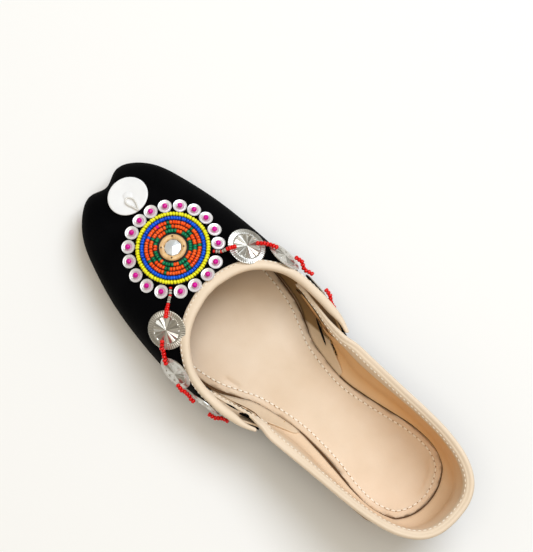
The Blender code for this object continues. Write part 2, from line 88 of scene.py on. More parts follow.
# %% Floor, light and room
bpy.context.scene.view_settings.view_transform = "Standard"
FLOOR_REACH = 6.0
floor_mesh = bmesh.new()
bmesh.ops.create_grid(floor_mesh, x_segments=4, y_segments=4, size=FLOOR_REACH)
floor_data = bpy.data.meshes.new("floor")
floor_mesh.to_mesh(floor_data)
floor_mesh.free()
floor = linked("floor", floor_data)
paper = bpy.data.materials.new("pale_paper")
paper.use_nodes = True
paper_shader = paper.node_tree.nodes["Principled BSDF"]
paper_shader.inputs["Base Color"].default_value = (0.91, 0.90, 0.885, 1)
paper_shader.inputs["Roughness"].default_value = 0.9
floor_data.materials.append(paper)


def soft_light(name, place, size, power, colour):
    data = bpy.data.lights.new(name, "AREA")
    data.shape = "DISK"
    data.size = size
    data.energy = power
    data.color = colour
    lamp = linked(name, data)
    lamp.location = place
    lamp.rotation_mode = "QUATERNION"
    lamp.rotation_quaternion = (-Vector(place)).to_track_quat("-Z", "Y")


soft_light("high_right_light", (0.893, 0.107, 1.56), 1.1, 18.4, (0.90, 1.0, 1.13))
soft_light("overhead_light", (-0.12, -0.08, 1.60), 1.0, 7.2, (1.0, 0.965, 0.89))
world = bpy.data.worlds.new("white_room")
bpy.context.scene.world = world
world.use_nodes = True
room = world.node_tree
room_ramp = room.nodes.new("ShaderNodeValToRGB")
room_ramp.color_ramp.elements[0].position = 0.02
room_ramp.color_ramp.elements[0].color = (0.24, 0.215, 0.175, 1)
room_ramp.color_ramp.elements[1].position = 0.75
room_ramp.color_ramp.elements[1].color = (1, 0.90, 0.73, 1)
room_place = room.nodes.new("ShaderNodeTexCoord")
room_height = room.nodes.new("ShaderNodeSeparateXYZ")
room.links.new(room_place.outputs["Generated"], room_height.inputs[0])
room.links.new(room_height.outputs["Z"], room_ramp.inputs[0])
room.links.new(room_ramp.outputs[0], room.nodes["Background"].inputs["Color"])
room.nodes["Background"].inputs["Strength"].default_value = 0.50
print("floor side:", 2 * FLOOR_REACH, "lights:", 2)

# %% [markdown]
# ## The last, as a table of ribs
# A shoemaker shapes an upper over a last. Here the last is a row of ribs from the middle of
# the heel to the middle of the toe. Each rib starts at the sole, swells to its side and ends
# at its rim. These are the same rows that the solids were made from, so the cloth and the
# leather made from them lie exactly where the solids are.

# %% The ribs and a point on the wall
LENGTH, HALF_BALL, RIM_HEIGHT = 0.252, 0.042, 0.055
OUTSOLE_THICKNESS, HEEL_LIFT, TOE_SPRING = 0.0040, 0.0065, 0.0075
RIBS = (
    (5.4, 0, 2.6, 0, 44, 1.2, 0, 96),
    (5.8, 19.5, 3.1, 23.5, 44, 1.8, 26, 95.6),
    (7.0, 37, 4.9, 42.5, 43.5, 3.9, 45.5, 94.5),
    (9.0, 51.5, 8.3, 57, 42, 7.8, 59.5, 92),
    (13.2, 61.8, 13.2, 66, 40, 13.2, 67.5, 87.5),
    (19, 62, 19.1, 68.5, 38, 19.2, 70.5, 81),
    (25, 55.4, 25, 66.5, 36, 25, 71.2, 73.5),
    (30.6, 49.4, 30.7, 63, 34, 30.8, 71.5, 66.5),
    (36.3, 46.6, 36, 63, 32.5, 36.2, 72.5, 61),
    (44.5, 54.8, 42.8, 73.5, 31, 41.2, 75.8, 58),
    (49, 66, 47.2, 85, 30, 44.8, 84.5, 56.5),
    (53.5, 77.5, 51.8, 92, 29, 48.4, 89.2, 56.5),
    (58.8, 84.5, 57.6, 96.2, 28, 52.2, 90.8, 57.5),
    (65, 87.5, 64.5, 98, 27, 56.2, 89.8, 60.5),
    (72.2, 85.5, 72.2, 95, 27, 59.9, 84.2, 65),
    (79.8, 79, 80.2, 88.5, 27.5, 63.2, 72.5, 69.5),
    (86.9, 68, 87.7, 77.5, 28.5, 65.9, 56.5, 72.5),
    (92.5, 54.5, 93.7, 64.5, 29.5, 67.6, 38, 74.2),
    (96.1, 37.5, 97.6, 46, 30, 68.5, 19, 75),
    (97.6, 19.5, 99.4, 25, 30, 68.8, 8, 75.4),
    (96.6, 0, 98.2, 0, 30, 68.8, 0, 75.5),
)
unit_y, unit_x, unit_z = LENGTH / 100, HALF_BALL / 100, RIM_HEIGHT / 100
half = np.array(RIBS) * (unit_y, unit_x, unit_y, unit_x, unit_z, unit_y, unit_x, unit_z)
LOOP = np.vstack([half, half[-2:0:-1] * (1, -1, 1, -1, 1, 1, -1, 1)])
ROUND = len(LOOP)


def ease(value, low, high):
    share = min(1.0, max(0.0, (value - low) / (high - low)))
    return share * share * (3 - 2 * share)


def sole_top(y):
    share = 100 * y / LENGTH
    toe = TOE_SPRING * max(0.0, (share - 72) / 28) ** 2
    return HEEL_LIFT * (1 - ease(share, 23, 50)) + toe + OUTSOLE_THICKNESS


def between_rows(rows, position, closed=True):
    """A table read between its rows as a smooth curve."""
    count = len(rows)
    low = int(math.floor(position))
    t = position - low
    if closed:
        p0, p1, p2, p3 = (rows[(low + k) % count] for k in (-1, 0, 1, 2))
    else:
        p0, p1, p2, p3 = (rows[min(max(low + k, 0), count - 1)] for k in (-1, 0, 1, 2))
    bend = (2 * p0 - 5 * p1 + 4 * p2 - p3) * t * t + (3 * p1 - p0 - 3 * p2 + p3) * t**3
    return 0.5 * (2 * p1 + (p2 - p0) * t + bend)


def bezier(a, b, c, d, t):
    return a * (1 - t) ** 3 + 3 * b * t * (1 - t) ** 2 + 3 * c * t * t * (1 - t) + d * t**3


def into_world(point):
    """Heel coordinates to world: the toe swings 6.8 mm to the right."""
    past = max(0.0, point[1] / LENGTH - 0.48)
    return np.array([point[0] + 0.0068 * (past / 0.52) ** 2, point[1] - LENGTH / 2, point[2]])


def rib_point(position, share, rim=None):
    """Share 0 is the foot of the wall, 0.3 its side and 1 its rim."""
    foot_y, foot_x, side_y, side_x, side_z, rim_y, rim_x, rim_z = between_rows(LOOP, position)
    foot = np.array([foot_x, foot_y, sole_top(foot_y) + 0.0003])
    side = np.array([side_x, side_y, side_z])
    rim = np.array([rim_x, rim_y, rim_z]) if rim is None else rim
    up = np.array([0, 0, 1.0])
    out = np.array([side_x - foot_x, side_y - foot_y, 0.0])
    back = np.array([side[0] - rim[0], side[1] - rim[1], 0.0])
    low, high = (side_z - foot[2]) * up, (rim[2] - side_z) * up
    if share < 0.3:
        b, c = foot + 0.4 * out + 0.22 * low, side - 0.45 * low
        return into_world(bezier(foot, b, c, side, share / 0.3))
    b, c = side + 0.5 * high, rim + 0.62 * back - 0.38 * high
    return into_world(bezier(side, b, c, rim, (share - 0.3) / 0.7))


def wall(position, share, offset=0.0, rim=None):
    """A point on the wall moved outwards by offset, and the outward direction."""
    here = rib_point(position, share, rim)
    along = rib_point(position + 0.05, share, rim) - rib_point(position - 0.05, share, rim)
    high, low = min(1.0, share + 0.02), max(0.0, share - 0.02)
    rise = rib_point(position, high, rim) - rib_point(position, low, rim)
    out = np.cross(along, rise)
    out /= np.linalg.norm(out)
    return here + out * offset, out


print("rim at the heel:", rib_point(0, 1).round(4), "at the throat:", rib_point(20, 1).round(4))

# %% [markdown]
# ## Small tools
# Most of the soft pieces are one sheet with rows and columns. `create_grid` makes the flat
# sheet and a rule then says where each point of it goes. Hard little pieces are made once,
# lying flat at the origin, and `many` copies them to their places. Both end in `add_piece`,
# which gives the finish and makes the piece ride on the shoe.

# %% Sheets, copies and finished pieces
def sheet(columns, rows, place, closed=False, caps=False):
    """A grid whose point (i, j) goes to place(i, j). Closed joins the last row to the first."""
    mesh = bmesh.new()
    bmesh.ops.create_grid(mesh, x_segments=columns, y_segments=rows, size=1.0)
    for vert in mesh.verts:
        i = round((vert.co.x + 1) / 2 * columns)
        j = round((vert.co.y + 1) / 2 * rows)
        vert.co = place(i, j % rows if closed else j)
    bmesh.ops.remove_doubles(mesh, verts=mesh.verts, dist=1e-6)
    if caps:
        bmesh.ops.holes_fill(mesh, edges=mesh.edges)
    if closed:
        bmesh.ops.recalc_face_normals(mesh, faces=mesh.faces)
    return mesh


def add_piece(name, mesh, finish, smooth=True):
    for face in mesh.faces:
        face.smooth = smooth
    data = bpy.data.meshes.new(name)
    mesh.to_mesh(data)
    mesh.free()
    data.materials.append(finish)
    piece = linked(name, data)
    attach(piece, "root")
    print(name, len(data.polygons), "faces")
    return piece


def copies(shape, places, seed):
    """One mesh with a copy of the shape at each place. Every copy gets its own tone."""
    dice = random.Random(seed)
    pattern = bpy.data.meshes.new("pattern")
    shape.to_mesh(pattern)
    shape.free()
    joined = bmesh.new()
    tone = joined.faces.layers.float.new("tone")
    for place in places:
        first_vert, first_face = len(joined.verts), len(joined.faces)
        joined.from_mesh(pattern)
        joined.verts.ensure_lookup_table()
        joined.faces.ensure_lookup_table()
        bmesh.ops.transform(joined, matrix=place, verts=joined.verts[first_vert:])
        value = dice.random()
        for face in joined.faces[first_face:]:
            face[tone] = value
    bpy.data.meshes.remove(pattern)
    return joined


def many(name, shape, places, seed, finish):
    """Copies of one shape as one finished piece."""
    return add_piece(name, copies(shape, places, seed), finish)


def standing(point, ahead, up):
    """A place for a copy: its z axis along up and its x axis as near ahead as it can be."""
    z = Vector(up).normalized()
    y = z.cross(Vector(ahead)).normalized()
    turned = Matrix((y.cross(z), y, z)).transposed().to_4x4()
    return Matrix.Translation(Vector(point)) @ turned


def spots_of(node):
    """The corner points of a solid and their middle."""
    corners = np.array([v.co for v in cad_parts[node].data.vertices])
    spots = np.unique(corners.round(6), axis=0)
    return spots, spots.mean(axis=0)


def seat_of(node):
    """The middle at the lowest level, and the up direction, of a flat round solid."""
    spots, middle = spots_of(node)
    up = np.linalg.svd(spots - middle)[2][2]
    up *= math.copysign(1.0, up[2])
    base = ((spots - middle) @ up).min()
    return Vector(middle + up * base), Vector(up)


print("toe disc seat:", seat_of("toe_disc"))

# %% [markdown]
# ## Finishes
# Leather, velvet, glass and beaten metal each need a little relief and a little change of
# tone. An effect that several finishes share is a node group with named sockets. The group
# gives colours, roughness and a normal, and the shader itself stays in each material.

# %% Node helpers
def new_group(name, inputs, outputs):
    group = bpy.data.node_groups.new(name, "ShaderNodeTree")
    for label, kind, value in inputs:
        socket = group.interface.new_socket(label, in_out="INPUT", socket_type=kind)
        socket.default_value = value
    for label, kind in outputs:
        group.interface.new_socket(label, in_out="OUTPUT", socket_type=kind)
    given, made = group.nodes.new("NodeGroupInput"), group.nodes.new("NodeGroupOutput")
    return group, given.outputs, made.inputs


def feed(tree, socket, value):
    """Joins another node's output to a socket, or writes a plain value on it."""
    if isinstance(value, bpy.types.NodeSocket):
        tree.links.new(value, socket)
    else:
        socket.default_value = value


def new_node(tree, kind, fed=(), **settings):
    """A node with its settings made and pairs of socket and value fed to it."""
    node = tree.nodes.new("ShaderNode" + kind)
    for name, value in settings.items():
        setattr(node, name, value)
    for socket, value in fed:
        feed(tree, node.inputs[socket], value)
    return node


def place_on(tree):
    return new_node(tree, "TexCoord").outputs["Object"]


def noise(tree, scale, detail):
    fed = (("Scale", scale), ("Detail", detail), ("Vector", place_on(tree)))
    return new_node(tree, "TexNoise", fed).outputs["Fac"]


def blend(tree, share, first, second, kind="MIX"):
    node = new_node(tree, "Mix", data_type="RGBA", blend_type=kind)
    for name, value in (("Factor", share), ("A", first), ("B", second)):
        feed(tree, next(s for s in node.inputs if s.name == name and s.enabled), value)
    return next(s for s in node.outputs if s.enabled)


def stretch(tree, value, low, high, to_low=0.0, to_high=1.0):
    limits = zip(("From Min", "From Max", "To Min", "To Max"), (low, high, to_low, to_high))
    return new_node(tree, "MapRange", (("Value", value), *limits)).outputs["Result"]


def times_plus(tree, value, factor, added):
    fed = ((0, value), (1, factor), (2, added))
    return new_node(tree, "Math", fed, operation="MULTIPLY_ADD").outputs[0]


def bumped(tree, height, strength, distance):
    fed = (("Height", height), ("Strength", strength), ("Distance", distance))
    return new_node(tree, "Bump", fed).outputs[0]


def tone_of(tree):
    """The number between 0 and 1 that every copy of a shape carries."""
    return new_node(tree, "Attribute", attribute_name="tone").outputs["Fac"]


COLOUR, NUMBER, NORMAL = "NodeSocketColor", "NodeSocketFloat", "NodeSocketVector"

# %% [markdown]
# ### Leather grain
# Smooth lining leather has fine pores about half a millimetre apart, soft mottling a few
# centimetres wide and slightly duller patches. Three noises at three scales give it.

# %% Leather grain group
tree, given, out = new_group(
    "leather_grain",
    (
        ("Colour", COLOUR, (0.8, 0.6, 0.4, 1)),
        ("Deep Colour", COLOUR, (0.6, 0.4, 0.2, 1)),
        ("Relief", NUMBER, 0.2),
    ),
    (("Colour", COLOUR), ("Roughness", NUMBER), ("Normal", NORMAL)),
)
leather_grain = tree
mottle = stretch(tree, noise(tree, 28, 4), 0.35, 0.75)
pores = noise(tree, 1500, 3)
creases = noise(tree, 260, 5)
deep = given["Deep Colour"]
tint = blend(tree, mottle, given["Colour"], deep)
tint = blend(tree, stretch(tree, pores, 0.5, 0.75, 0, 0.16), tint, deep)
relief = times_plus(tree, creases, 0.8, pores)
feed(tree, out["Colour"], tint)
feed(tree, out["Roughness"], stretch(tree, creases, 0.3, 0.7, 0.46, 0.62))
feed(tree, out["Normal"], bumped(tree, relief, given["Relief"], 0.00012))


def new_finish(name, **fixed):
    """A material whose shader has these plain numbers on its sockets."""
    finish = bpy.data.materials.new(name)
    finish.use_nodes = True
    shader = finish.node_tree.nodes["Principled BSDF"]
    for socket, value in fixed.items():
        shader.inputs[socket.replace("_", " ")].default_value = value
    return finish, finish.node_tree, shader


def grouped(finish_tree, shader, group, **values):
    """Places a group in a material and joins what it puts out to the shader."""
    node = new_node(finish_tree, "Group", node_tree=group)
    for socket, value in values.items():
        node.inputs[socket.replace("_", " ")].default_value = value
    for made in node.outputs:
        taken = shader.inputs["Base Color" if made.name == "Colour" else made.name]
        finish_tree.links.new(made, taken)


def leather(name, colour, deep, grain):
    finish, tree, shader = new_finish(name, Specular_IOR_Level=0.35)
    grouped(tree, shader, leather_grain, Colour=(*colour, 1), Deep_Colour=(*deep, 1), Relief=grain)
    return finish


insole_leather = leather("insole_leather", (0.80, 0.648, 0.495), (0.70, 0.535, 0.375), 0.25)


# Painted shade: the right wall of the lining is shaded amber and the wall inside the vamp brown.
def paint_shade(finish, colour, direction, low, high):
    """Multiplies painted shade into the colour of a leather, from one distance along a direction
    to the next.
    """
    tree = finish.node_tree
    shader = tree.nodes["Principled BSDF"]
    fed = ((0, place_on(tree)), (1, direction))
    along = new_node(tree, "VectorMath", fed, operation="DOT_PRODUCT")
    plain = shader.inputs["Base Color"].links[0].from_socket
    shaded_colour = blend(tree, 1.0, plain, (*colour, 1), "MULTIPLY")
    share = stretch(tree, along.outputs["Value"], low, high)
    tree.links.new(blend(tree, share, plain, shaded_colour), shader.inputs["Base Color"])


lining_leather = leather("lining_leather", (0.84, 0.65, 0.46), (0.77, 0.57, 0.38), 0.3)
# Painted shade on the right wall of the quarter lining, which faces away from the main light.
paint_shade(lining_leather, (1.0, 0.80, 0.54), (1, 0, 0), 0.012, 0.026)
vamp_leather = leather("vamp_leather", (0.76, 0.60, 0.43), (0.69, 0.53, 0.36), 0.3)
# Painted shade on the upper part of the wall inside the vamp.
paint_shade(vamp_leather, (0.40, 0.30, 0.17), (0.3, 0.5, 1.0), 0.0138, 0.0148)
edge_leather = leather("edge_leather", (0.84, 0.69, 0.53), (0.79, 0.63, 0.46), 0.35)
sole_leather = leather("sole_leather", (0.42, 0.26, 0.14), (0.30, 0.17, 0.08), 0.6)
heel_leather = leather("heel_leather", (0.24, 0.14, 0.07), (0.15, 0.08, 0.04), 0.6)
thread = leather("waxed_thread", (0.95, 0.88, 0.78), (0.90, 0.80, 0.66), 0.6)
print("leathers:", 7)

# %% [markdown]
# ### Velvet
# Velvet looks black from above because light falls in between its upright fibres. Only a
# grazing view catches their tips. Sheen gives that edge, and a fine bump gives the pile.

# %% Velvet finish
velvet, tree, shader = new_finish(
    "black_velvet", Roughness=1.0, Specular_IOR_Level=0.03, Sheen_Weight=0.02, Sheen_Roughness=0.5
)
brushed = stretch(tree, noise(tree, 45, 4), 0.35, 0.7)
pile = noise(tree, 2600, 2)
colour = blend(tree, brushed, (0.0008, 0.0008, 0.0011, 1), (0.0024, 0.0024, 0.0029, 1))
feed(tree, shader.inputs["Base Color"], colour)
feed(tree, shader.inputs["Normal"], bumped(tree, pile, 0.6, 0.0002))

# %% [markdown]
# ### Glass beads
# Seed beads come out of one bag, yet no two are quite alike. Each copy carries its own tone
# as an attribute, and the group turns that tone into a slightly lighter or darker glass.

# %% Bead glass group and its colours
tree, given, out = new_group(
    "bead_glass",
    (("Colour", COLOUR, (1, 0, 0, 1)), ("Pale Colour", COLOUR, (1, 0.3, 0.3, 1))),
    (("Colour", COLOUR), ("Roughness", NUMBER)),
)
bead_glass = tree
tone, pale = tone_of(tree), given["Pale Colour"]
tint = blend(tree, stretch(tree, tone, 0.0, 1.0, 0.0, 0.8), given["Colour"], pale)
swirl = stretch(tree, noise(tree, 900, 2), 0.4, 0.7, 0.0, 0.35)
feed(tree, out["Colour"], blend(tree, swirl, tint, pale))
feed(tree, out["Roughness"], stretch(tree, tone, 0, 1, 0.10, 0.26))


def glass(name, colour, pale):
    shine = {"Specular_IOR_Level": 0.28, "Coat_Weight": 0.06, "Coat_Roughness": 0.08}
    finish, tree, shader = new_finish(name, **shine)
    grouped(tree, shader, bead_glass, Colour=(*colour, 1), Pale_Colour=(*pale, 1))
    return finish


yellow_glass = glass("yellow_glass", (0.86, 0.82, 0.0), (0.95, 0.92, 0.03))
blue_glass = glass("blue_glass", (0.001, 0.065, 0.64), (0.003, 0.13, 0.88))
orange_glass = glass("orange_glass", (0.92, 0.065, 0.006), (0.98, 0.15, 0.015))
green_glass = glass("green_glass", (0.0, 0.13, 0.045), (0.0, 0.29, 0.13))
magenta_glass = glass("magenta_glass", (0.62, 0.0, 0.27), (0.74, 0.0, 0.36))
red_glass = glass("red_glass", (0.70, 0.002, 0.002), (0.84, 0.015, 0.01))
clear_glass = glass("clear_glass", (0.35, 0.30, 0.24), (0.60, 0.58, 0.50))
print("glasses:", 7)

# %% [markdown]
# ### Thin pressed metal
# Sequins and fan discs are stamped from thin plated sheet. The sheet is never quite flat,
# so its highlights wander. A slow bump does that, and a faint tarnish dulls some patches.

# %% Pressed metal group and its finishes
tree, given, out = new_group(
    "pressed_metal",
    (
        ("Colour", COLOUR, (0.9, 0.9, 0.9, 1)),
        ("Tarnish", COLOUR, (0.5, 0.5, 0.4, 1)),
        ("Dents", NUMBER, 0.3),
        ("Dullness", NUMBER, 0.2),
    ),
    (("Colour", COLOUR), ("Roughness", NUMBER), ("Normal", NORMAL)),
)
pressed_metal = tree
patches = stretch(tree, noise(tree, 220, 4), 0.45, 0.75)
feed(tree, out["Colour"], blend(tree, patches, given["Colour"], given["Tarnish"]))
feed(tree, out["Roughness"], times_plus(tree, patches, 0.15, given["Dullness"]))
feed(tree, out["Normal"], bumped(tree, noise(tree, 700, 2), given["Dents"], 0.00025))


def metal(name, colour, tarnish, dents, dullness, metallic):
    finish, tree, shader = new_finish(name, Metallic=metallic)
    relief = {"Dents": dents, "Dullness": dullness}
    grouped(tree, shader, pressed_metal, Colour=(*colour, 1), Tarnish=(*tarnish, 1), **relief)
    return finish


sequin_silver = metal("sequin_silver", (0.84, 0.84, 0.84), (0.76, 0.76, 0.76), 0.03, 0.26, 0.45)
fan_silver = metal("fan_silver", (0.66, 0.645, 0.60), (0.54, 0.52, 0.46), 0.0, 0.30, 1.0)
mirror_foil = metal("mirror_foil", (0.78, 0.82, 0.85), (0.70, 0.74, 0.77), 0.0, 0.30, 0.5)

# %% [markdown]
# ## The velvet
# The upper is sewn from two pieces. The quarter goes round the heel, and its front ends slip
# inside the vamp. The vamp covers the toes and laps over the quarter on both sides. So the
# quarter is a sheet whose offset drops inwards where the vamp comes over it, and its top
# edge there follows the low line that can be seen inside the shoe.

# %% Quarter and vamp in velvet
QUARTER_TONGUE = (
    (40.9, 70.7, 63.6),
    (43.3, 71.7, 61.6),
    (46, 74.3, 57.8),
    (48.8, 78.5, 53.4),
    (51.6, 82, 50),
    (53.6, 84.8, 47.5),
    (56, 86.4, 44),
)
QUARTER_END, TONGUE_START = 12.3, 8.75
tongue_rows = np.array([(x * unit_x, y * unit_y, z * unit_z) for y, x, z in QUARTER_TONGUE])


def tongue(step, side):
    """A point on the low line, in rows from 0 to 6. Side is 1 on the right and -1 on the left."""
    return between_rows(tongue_rows, step, closed=False) * (side, 1, 1)


def quarter_rim(position):
    """The rim of the quarter where it runs on inside the vamp, or None behind it."""
    row = abs(position)
    if row <= TONGUE_START:
        return None
    step = (row - TONGUE_START) / (QUARTER_END - TONGUE_START) * 6
    return tongue(step, math.copysign(1, position)) - np.array([0, 0, 0.0026])


def quarter_place(position, share, offset):
    inward = 0.0012 * ease(abs(position), 8.9, 9.5) * ease(share, 0.0, 0.3)
    return wall(position, share, offset - inward, quarter_rim(position))[0]


def front_edge(share):
    """Where the lining of the quarter stops: far back at the foot, well forward at the roll."""
    ragged = 0.03 * math.sin(61 * share) + 0.025 * math.sin(143 * share)
    return 8.25 + 1.45 * ease(share, 0.0, 0.55) + 2.6 * ease(share, 0.86, 0.99) + ragged


def quarter_velvet_place(i, j):
    share = j / 26
    position = (2 * i / 170 - 1) * max(9.3, front_edge(share) + 0.03)
    return quarter_place(position, share, 0.0)


def vamp_velvet_place(i, j):
    return wall(VAMP_START + VAMP_RUN * i / 200, j / 30, VAMP_LIFT)[0]


def give_thickness(piece, thickness):
    modifier = piece.modifiers.new("thickness", "SOLIDIFY")
    modifier.thickness = thickness
    modifier.offset = -1


VAMP_START, VAMP_RUN = 9.0, 22.0
VAMP_LIFT, CLOTH = 0.0013, 0.0009
quarter_mesh = sheet(170, 26, quarter_velvet_place)
quarter_velvet = add_piece("quarter_velvet", quarter_mesh, velvet)
vamp_mesh = sheet(200, 30, vamp_velvet_place)
vamp_velvet = add_piece("vamp_velvet", vamp_mesh, velvet)
give_thickness(quarter_velvet, CLOTH)
give_thickness(vamp_velvet, CLOTH)
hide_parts("upper")

# %% [markdown]
# ## The lining
# Inside, the same two pieces are lined with light tan leather. Each lining is the same sheet
# as its velvet, pushed inwards by the thickness of the cloth and turned to face the foot.
# The lining of the quarter is cut off in a ragged slant. The lining of the vamp reaches back
# inside it as a low flap beside the insole, and a dark gap stays open between the two.

# %% Lining of the quarter and the vamp
LINING_DEPTH, HEEL_TUCK = 0.0020, 0.0028


def heel_lean(y_heel):
    """How far the foot of the left lining stands in from the wall beside the heel."""
    return HEEL_TUCK * ease(y_heel, 0.006, 0.032) * (1 - ease(y_heel, 0.055, 0.095))


def lining_offset(position, share):
    """The lining lies 2 mm inside the wall, further in at its foot and near its front edge."""
    loose = ease(abs(position), 8.2, 9.6) * math.sin(math.pi * min(1, share + 0.12))
    opening = 0.0018 if position > 0 else 0.0005
    tucked = 0.0006 * (1 - ease(share, 0.02, 0.16))
    if position < 0:
        foot, outward = wall(position, 0.0)
        tucked += heel_lean(foot[1] + LENGTH / 2) * abs(outward[0]) * (1 - ease(share, 0.05, 0.95))
    return -LINING_DEPTH - tucked - opening * loose


def quarter_lining_place(i, j):
    share = j / 30
    position = (2 * i / 190 - 1) * front_edge(share)
    return quarter_place(position, share, lining_offset(position, share))


def vamp_lining_place(i, j):
    share = j / 30
    right_start, left_start = (begin + 1.3 * ease(share, 0.05, 0.30) for begin in (8.05, 7.8))
    position = right_start + (ROUND - left_start - right_start) * i / 200
    inside = 1 - ease(min(position, ROUND - position), 9.3, 11.2)
    return wall(position, share, -0.0007 - 0.0025 * inside * (1 - ease(share, 0.3, 0.5)))[0]


for name, columns, place, finish in (
    ("quarter_lining", 190, quarter_lining_place, lining_leather),
    ("vamp_lining", 200, vamp_lining_place, vamp_leather),
):
    mesh = sheet(columns, 30, place)
    bmesh.ops.reverse_faces(mesh, faces=mesh.faces)
    give_thickness(add_piece(name, mesh, finish), CLOTH)

# %% [markdown]
# ## The padded insole
# The insole is a board with a thin foam and a leather cover, stitched all round a few
# millimetres inside its edge. One flat face with the shoe's outline is inset again and again,
# which makes rings that follow the edge. Those rings carry the rounded edge and the groove
# of the stitching. The middle is then cut into a lattice so that it can follow the arch.

# %% Outline of the insole
def foot_line(inset, steps=4):
    """Points round the foot of the wall, moved in by inset, in heel coordinates."""
    rows = [between_rows(LOOP, k / steps) for k in range(20 * steps + 1)]
    points = np.array([(row[1], row[0]) for row in rows])
    corner_x, corner_y = points[18 * steps]
    for point in points[18 * steps :]:
        point[1] = corner_y + 0.0045 * math.sqrt(max(0.0, 1 - (point[0] / corner_x) ** 2))
    ahead = np.vstack([points[1:], points[-1:] + [[-1e-3, 0]]])
    behind = np.vstack([points[:1] - [[1e-3, 0]], points[:-1]])
    run = (ahead - behind) / np.linalg.norm(ahead - behind, axis=1)[:, None]
    moved = points - inset * np.stack([run[:, 1], -run[:, 0]], axis=1)
    moved[0, 0] = moved[-1, 0] = 0.0
    left = moved[-2:0:-1] * (-1, 1)
    left[:, 0] += [heel_lean(y) for y in left[:, 1]]
    return np.vstack([moved, left])


insole_edge = foot_line(0.0018)
insole_edge = insole_edge[insole_edge[:, 1] < 0.945 * LENGTH]
edge_world = [Vector(into_world((x, y, 0))) for x, y in insole_edge]
insole = bmesh.new()
corners = [insole.verts.new(p) for p in edge_world]
top_face = insole.faces.new(corners)
if top_face.normal.z < 0:
    top_face.normal_flip()
insole.normal_update()
RINGS = (0.3, 0.4, 0.5, 0.6, 0.9, 0.4, 0.3, 0.3, 0.4, 1.1, 1.0, 1.0, 1.0)
for width in RINGS:
    inner = max(insole.faces, key=lambda face: face.calc_area())
    bmesh.ops.inset_region(insole, faces=[inner], thickness=width / 1000, use_even_offset=True)
inner = max(insole.faces, key=lambda face: face.calc_area())
rings_of_faces = set(insole.faces) - {inner}
LATTICE = (
    (1, -0.1175, 0.115, 0.003), (1, -0.1062, -0.0945, 0.001), (1, 0.0007, 0.0110, 0.001),
    (0, -0.0315, 0.0375, 0.003), (0, -0.0247, -0.0195, 0.001), (0, 0.0008, 0.0170, 0.002),
)
for axis, first, last, step in LATTICE:
    for value in np.arange(first, last, step):
        across = Vector((1 - axis, axis, 0))
        lattice = [f for f in insole.faces if f not in rings_of_faces]
        geometry = lattice + list({e for f in lattice for e in f.edges})
        geometry += list({v for f in lattice for v in f.verts})
        bmesh.ops.bisect_plane(insole, geom=geometry, plane_co=across * value, plane_no=across)
edge_points = np.array([p[:2] for p in edge_world])


def from_edge(x, y):
    """Distance in plan to the insole's outline."""
    a, b = edge_points, np.roll(edge_points, -1, axis=0)
    run = b - a
    t = ((np.array([x, y]) - a) * run).sum(axis=1) / (run**2).sum(axis=1)
    nearest = a + run * np.clip(t, 0, 1)[:, None]
    return np.linalg.norm(nearest - (x, y), axis=1).min()


PAD_HEIGHT, PAD_COVER = 0.0033, 0.0018
STITCH_INSET, CREASE_WIDTH = 0.0032, 0.0014
CREASES = (
    ((0.0165, -0.0970), (0.0130, -0.1010), 0.0006),
    ((0.0130, -0.1010), (0.0065, -0.1040), 0.0008),
    ((0.0065, -0.1040), (0.0000, -0.1055), 0.0005),
    ((-0.0235, 0.0085), (-0.0222, 0.0020), 0.0008),
)


def creased(x, y):
    """Depth of the soft folds: a bent one of three runs under the heel, one beside the ball."""
    deep = 0.0
    for start, end, depth in CREASES:
        run = Vector(end) - Vector(start)
        t = min(1.0, max(0.0, (Vector((x, y)) - Vector(start)).dot(run) / run.length_squared))
        away = (Vector(start) + run * t - Vector((x, y))).length
        deep = max(deep, depth * math.exp(-((away / CREASE_WIDTH) ** 2)))
    return deep


def insole_height(x, y, distance):
    y_heel = y + LENGTH / 2
    rounded = 0.0010 * max(0.0, 1 - distance / 0.0014) ** 2
    groove = 0.00040 * math.exp(-(((distance - STITCH_INSET) / 0.00045) ** 2))
    crown = 0.0008 * ease(distance, 0.0034, 0.016)
    heel_cup = 0.0007 * math.exp(-((x / 0.016) ** 2) - ((y_heel - 0.035) / 0.022) ** 2)
    ball = 0.0006 * math.exp(-(((x - 0.003) / 0.024) ** 2) - ((y_heel - 0.170) / 0.030) ** 2)
    top = sole_top(y_heel) + PAD_HEIGHT - rounded - groove + crown
    return top - heel_cup - ball - creased(x, y)


for vert in insole.verts:
    vert.co.z = insole_height(vert.co.x, vert.co.y, from_edge(vert.co.x, vert.co.y))
insole_pad = add_piece("insole_pad", insole, insole_leather)
give_thickness(insole_pad, PAD_COVER)
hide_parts("insole")

# %% [markdown]
# A fine dark line runs between the insole and the wall, where a narrow gap lies in shade.
# A narrow dark brown ribbon round the pad paints that shade.

# %% Painted shade round the edge of the insole
inner_line, outer_line = foot_line(0.0020), foot_line(0.0014)
kept = inner_line[:, 1] < 0.93 * LENGTH
inner_line, outer_line = inner_line[kept], outer_line[kept]
start = int(np.argmax(np.linalg.norm(np.diff(inner_line, axis=0), axis=1))) + 1
inner_line, outer_line = (np.roll(line, -start, axis=0) for line in (inner_line, outer_line))


def edge_shade_place(i, j):
    x, y = (inner_line, outer_line)[j][i]
    return into_world((x, y, sole_top(y) + 0.0030 - 0.0005 * j))


# Painted shade: this dark brown ribbon stands for the shaded gap at the insole's edge. The same
# brown also colours the needle holes of the wooden ring.
edge_shade_and_pinholes = leather("brown_edge_shade_and_pinholes", (0.15, 0.075, 0.03), (0.10, 0.05, 0.02), 0.3)
edge_shade = sheet(len(inner_line) - 1, 1, edge_shade_place)
bmesh.ops.recalc_face_normals(edge_shade, faces=edge_shade.faces)
add_piece("insole_edge_shade", edge_shade, edge_shade_and_pinholes)

# %% [markdown]
# ## Stitches
# A machine stitch is a short thread lying in a dent, with a needle hole at each end. It is a
# stretched ball a few faces big, copied along a line. The holes are darker specks between.

